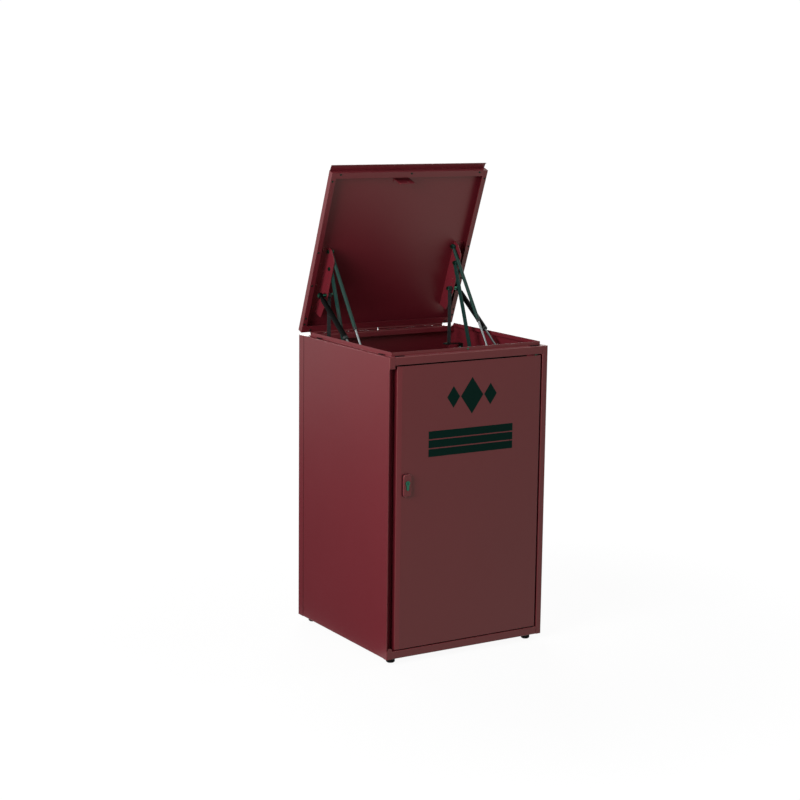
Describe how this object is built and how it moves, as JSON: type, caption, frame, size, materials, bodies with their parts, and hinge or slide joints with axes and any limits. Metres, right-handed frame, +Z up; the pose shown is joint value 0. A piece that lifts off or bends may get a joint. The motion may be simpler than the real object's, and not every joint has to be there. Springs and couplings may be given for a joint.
{
  "type": "parcel box",
  "caption": "Outdoor parcel box of folded sheet steel with a raised lid on gas springs, a linked drop tray and a key-locked front door.",
  "frame": {"origin": "on the floor under the middle of the whole object with its lid open", "axes": "+Z up, front and door towards -Y, +X to the right seen from the front"},
  "size_m": [0.65, 0.6564, 1.6927],
  "materials": {
    "red_coat": "satin powder coat",
    "dark_coat": "semi-gloss paint",
    "black_coat": "semi-gloss paint",
    "zinc_steel": "zinc plated, dull",
    "plated_steel": "plated, satin",
    "bright_steel": "ground and bright",
    "black_rubber": "matt",
    "dark_nylon": "matt",
    "webbing": "woven polyester webbing"
  },
  "bodies": {
    "cabinet": {"left_side_panel": "red_coat", "right_side_panel": "red_coat", "rear_panel": "red_coat", "top_front_rail": "red_coat", "bottom_front_rail": "red_coat", "floor_pan": "red_coat", "foot_nuts": "plated_steel", "foot_front_left": "black_rubber", "foot_front_right": "black_rubber", "foot_rear_left": "black_rubber", "foot_rear_right": "black_rubber", "door_hinge_bushes": "dark_nylon", "lid_buffers": "black_rubber", "hinge_body_leaf_left": "red_coat", "hinge_body_leaf_right": "red_coat", "hinge_pins": "zinc_steel", "gas_spring_foot_left": "zinc_steel", "gas_spring_foot_right": "zinc_steel", "strap_anchor_left": "zinc_steel", "strap_anchor_right": "zinc_steel", "check_strap_left": "webbing", "check_strap_right": "webbing", "tray_hinge_rod": "plated_steel", "tray_hinge_brackets": "zinc_steel", "latch_case": "zinc_steel"},
    "door": {"door_panel": "red_coat", "door_stiffener": "red_coat", "door_hinge_pins": "plated_steel", "lock_escutcheon": "red_coat", "lock_gasket": "black_rubber", "lock_cylinder": "plated_steel", "lock_carrier": "zinc_steel"},
    "lock_core": {"lock_plug": "plated_steel", "lock_cam": "zinc_steel"},
    "lid": {"lid_cover": "red_coat", "lid_frame": "red_coat", "lid_frame_screws": "plated_steel", "lid_latch_tongue": "red_coat", "bracket_rivets": "zinc_steel", "link_bolts": "plated_steel", "spring_bolts": "plated_steel", "hinge_lid_leaf_left": "red_coat", "hinge_lid_leaf_right": "red_coat", "lid_bracket_left": "red_coat", "lid_bracket_right": "red_coat"},
    "tray": {"drop_tray": "red_coat", "tray_link_studs": "plated_steel"},
    "latch": {"latch_bolt": "bright_steel"},
    "lift_rod_left": {"lift_rod_tube_left": "dark_coat", "lift_rod_end_left": "bright_steel"},
    "link_left": {"link_bar_left": "dark_coat"},
    "spring_tube_left": {"gas_spring_tube_left": "black_coat"},
    "spring_rod_left": {"gas_spring_rod_left": "bright_steel"},
    "lift_rod_right": {"lift_rod_tube_right": "dark_coat", "lift_rod_end_right": "bright_steel"},
    "link_right": {"link_bar_right": "dark_coat"},
    "spring_tube_right": {"gas_spring_tube_right": "black_coat"},
    "spring_rod_right": {"gas_spring_rod_right": "bright_steel"}
  },
  "joints": [
    {"name": "lid_hinge", "type": "hinge", "parent": "cabinet", "child": "lid", "pos_m": [0, 0.30977, 1.078], "axis": [1, 0, 0], "range_deg": [0, 69], "deforming": ["check_strap_left", "check_strap_right"]},
    {"name": "door_hinge", "type": "hinge", "parent": "cabinet", "child": "door", "pos_m": [0.2825, -0.30523, 0.547], "axis": [0, 0, 1], "range_deg": [0, 110]},
    {"name": "lock_turn", "type": "hinge", "parent": "door", "child": "lock_core", "pos_m": [-0.254, -0.31723, 0.638], "axis": [0, -1, 0], "range_deg": [0, 90]},
    {"name": "latch_slide", "type": "slide", "parent": "cabinet", "child": "latch", "axis": [0, 1, 0], "range_m": [0, 0.012]},
    {"name": "tray_hinge", "type": "hinge", "parent": "cabinet", "child": "tray", "pos_m": [0, 0.30077, 0.857], "axis": [1, 0, 0], "range_deg": [0, 61]},
    {"name": "lift_rod_pivot_left", "type": "hinge", "parent": "lid", "child": "lift_rod_left", "pos_m": [-0.2595, 0.20414, 1.37968], "axis": [1, 0, 0], "range_deg": [-27.7, 0]},
    {"name": "link_pivot_left", "type": "hinge", "parent": "lid", "child": "link_left", "pos_m": [-0.263, 0.19606, 1.31981], "axis": [1, 0, 0], "range_deg": [-34.7, 0]},
    {"name": "spring_pivot_left", "type": "hinge", "parent": "lid", "child": "spring_tube_left", "pos_m": [-0.293, 0.22034, 1.22309], "axis": [1, 0, 0], "range_deg": [-91.6, 0]},
    {"name": "spring_stroke_left", "type": "slide", "parent": "spring_tube_left", "child": "spring_rod_left", "axis": [0, 0.8171, 0.5766], "range_m": [0, 0.1472]},
    {"name": "lift_rod_pivot_right", "type": "hinge", "parent": "lid", "child": "lift_rod_right", "pos_m": [0.2595, 0.20414, 1.37968], "axis": [1, 0, 0], "range_deg": [-27.7, 0]},
    {"name": "link_pivot_right", "type": "hinge", "parent": "lid", "child": "link_right", "pos_m": [0.263, 0.19606, 1.31981], "axis": [1, 0, 0], "range_deg": [-34.7, 0]},
    {"name": "spring_pivot_right", "type": "hinge", "parent": "lid", "child": "spring_tube_right", "pos_m": [0.293, 0.22034, 1.22309], "axis": [1, 0, 0], "range_deg": [-91.6, 0]},
    {"name": "spring_stroke_right", "type": "slide", "parent": "spring_tube_right", "child": "spring_rod_right", "axis": [0, 0.8171, 0.5766], "range_m": [0, 0.1472]}
  ],
  "couplings": [
    {"joint": "tray_hinge", "follows": "lid_hinge", "ratio": 0.87628},
    {"joint": "lift_rod_pivot_left", "follows": "lid_hinge", "ratio": -0.39435},
    {"joint": "link_pivot_left", "follows": "lid_hinge", "ratio": -0.49618},
    {"joint": "spring_pivot_left", "follows": "lid_hinge", "ratio": -1.321},
    {"joint": "spring_stroke_left", "follows": "lid_hinge", "m_per_rad": 0.12137},
    {"joint": "lift_rod_pivot_right", "follows": "lid_hinge", "ratio": -0.39435},
    {"joint": "link_pivot_right", "follows": "lid_hinge", "ratio": -0.49618},
    {"joint": "spring_pivot_right", "follows": "lid_hinge", "ratio": -1.321},
    {"joint": "spring_stroke_right", "follows": "lid_hinge", "m_per_rad": 0.12137}
  ]
}
